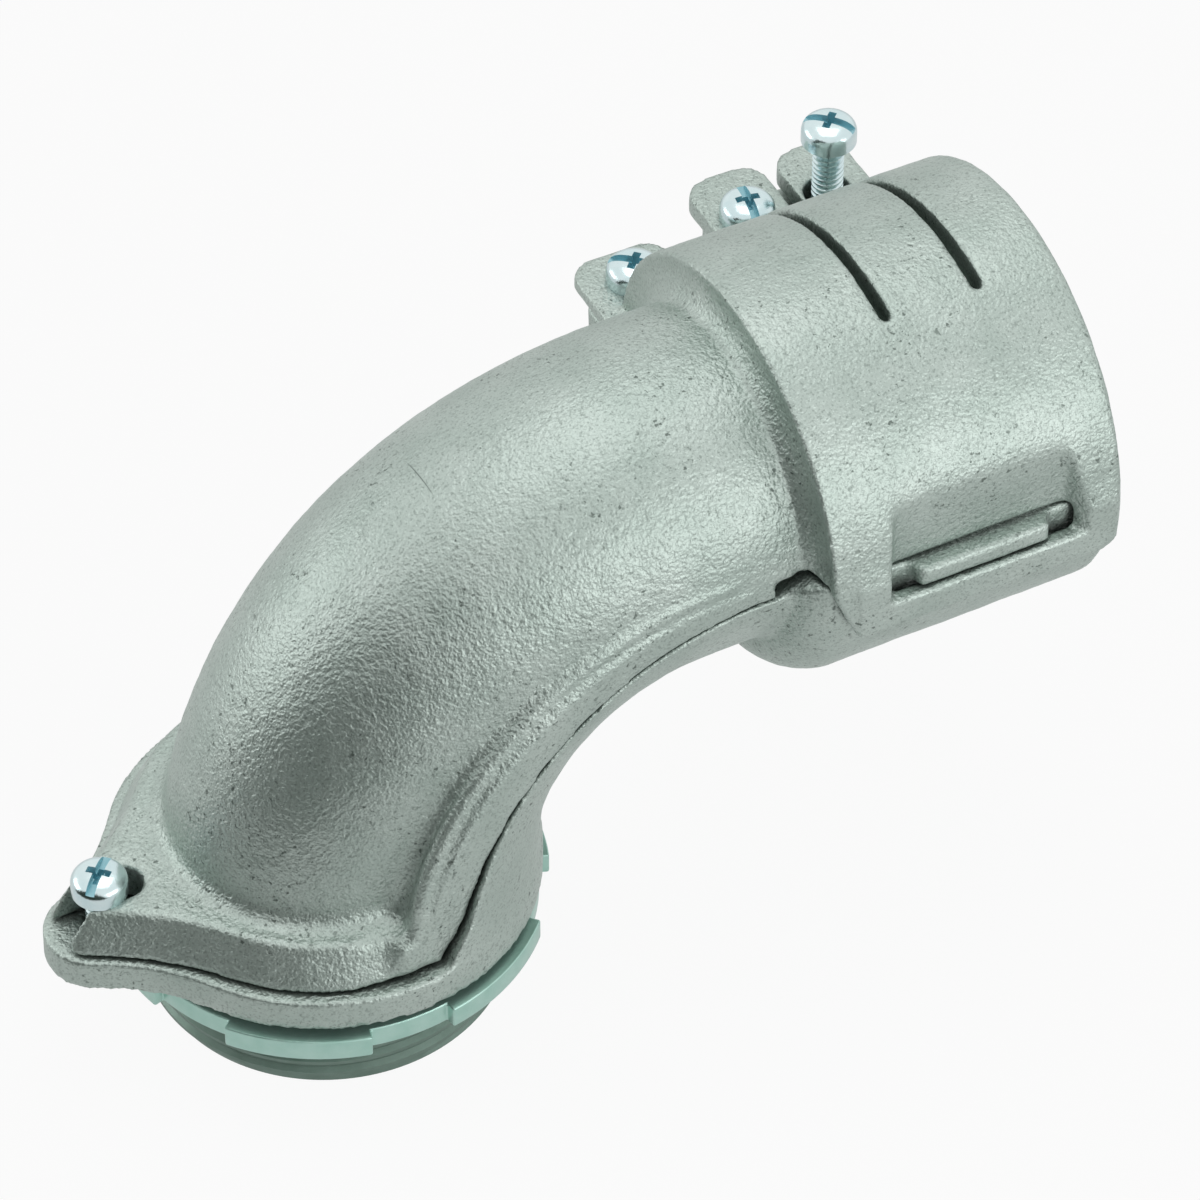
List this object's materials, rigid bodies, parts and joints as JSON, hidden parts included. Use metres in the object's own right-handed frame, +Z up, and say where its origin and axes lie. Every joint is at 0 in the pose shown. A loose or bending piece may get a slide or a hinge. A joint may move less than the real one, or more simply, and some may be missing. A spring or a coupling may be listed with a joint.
{
  "type": "conduit connector",
  "caption": "Right angle squeeze connector: a threaded hub for a box wall, a split elbow and a slotted clamp barrel that grips flexible metal conduit.",
  "frame": {"origin": "hub axis at the seat under the body flange", "axes": "+Z up along the hub axis, away from the box; +X along the barrel towards its mouth; +Y towards the screw ears, so the hook side faces -Y"},
  "size_m": [0.2091, 0.115, 0.1358],
  "materials": {
    "casting": "sand cast malleable iron, dull zinc plated",
    "plated_steel": "bright zinc plated"
  },
  "bodies": {
    "body": {"body_casting": "casting"},
    "cover": {"cover_casting": "casting"},
    "locknut": {"locknut": "plated_steel"},
    "heel_screw": {"heel_screw": "plated_steel"},
    "elbow_screw": {"elbow_screw": "plated_steel"},
    "strap_screw": {"strap_screw": "plated_steel"},
    "ring_screw": {"ring_screw": "plated_steel"}
  },
  "joints": [
    {"name": "cover_rock", "type": "hinge", "parent": "body", "child": "cover", "pos_m": [0.1205, -0.0427, 0.0666], "axis": [0.9508, 0, 0.3099], "range_deg": [0, 2]},
    {"name": "elbow_screw_lift", "type": "slide", "parent": "body", "child": "elbow_screw", "axis": [0, 0, 1], "range_m": [0, 0.0034]},
    {"name": "strap_screw_lift", "type": "slide", "parent": "body", "child": "strap_screw", "axis": [0, 0, 1], "range_m": [0, 0.0036]},
    {"name": "heel_screw_lift", "type": "slide", "parent": "body", "child": "heel_screw", "axis": [0, 0, 1], "range_m": [0, 0.0017]},
    {"name": "ring_screw_travel", "type": "slide", "parent": "body", "child": "ring_screw", "axis": [0, 0, 1], "range_m": [-0.0095, 0.003]},
    {"name": "locknut_turn", "type": "hinge", "parent": "body", "child": "locknut", "pos_m": [0, 0, -0.0046], "axis": [0, 0, 1], "continuous": true}
  ],
  "couplings": [
    {"joint": "elbow_screw_lift", "follows": "cover_rock", "m_per_rad": 0.0955},
    {"joint": "strap_screw_lift", "follows": "cover_rock", "m_per_rad": 0.101},
    {"joint": "heel_screw_lift", "follows": "cover_rock", "m_per_rad": 0.0475}
  ]
}
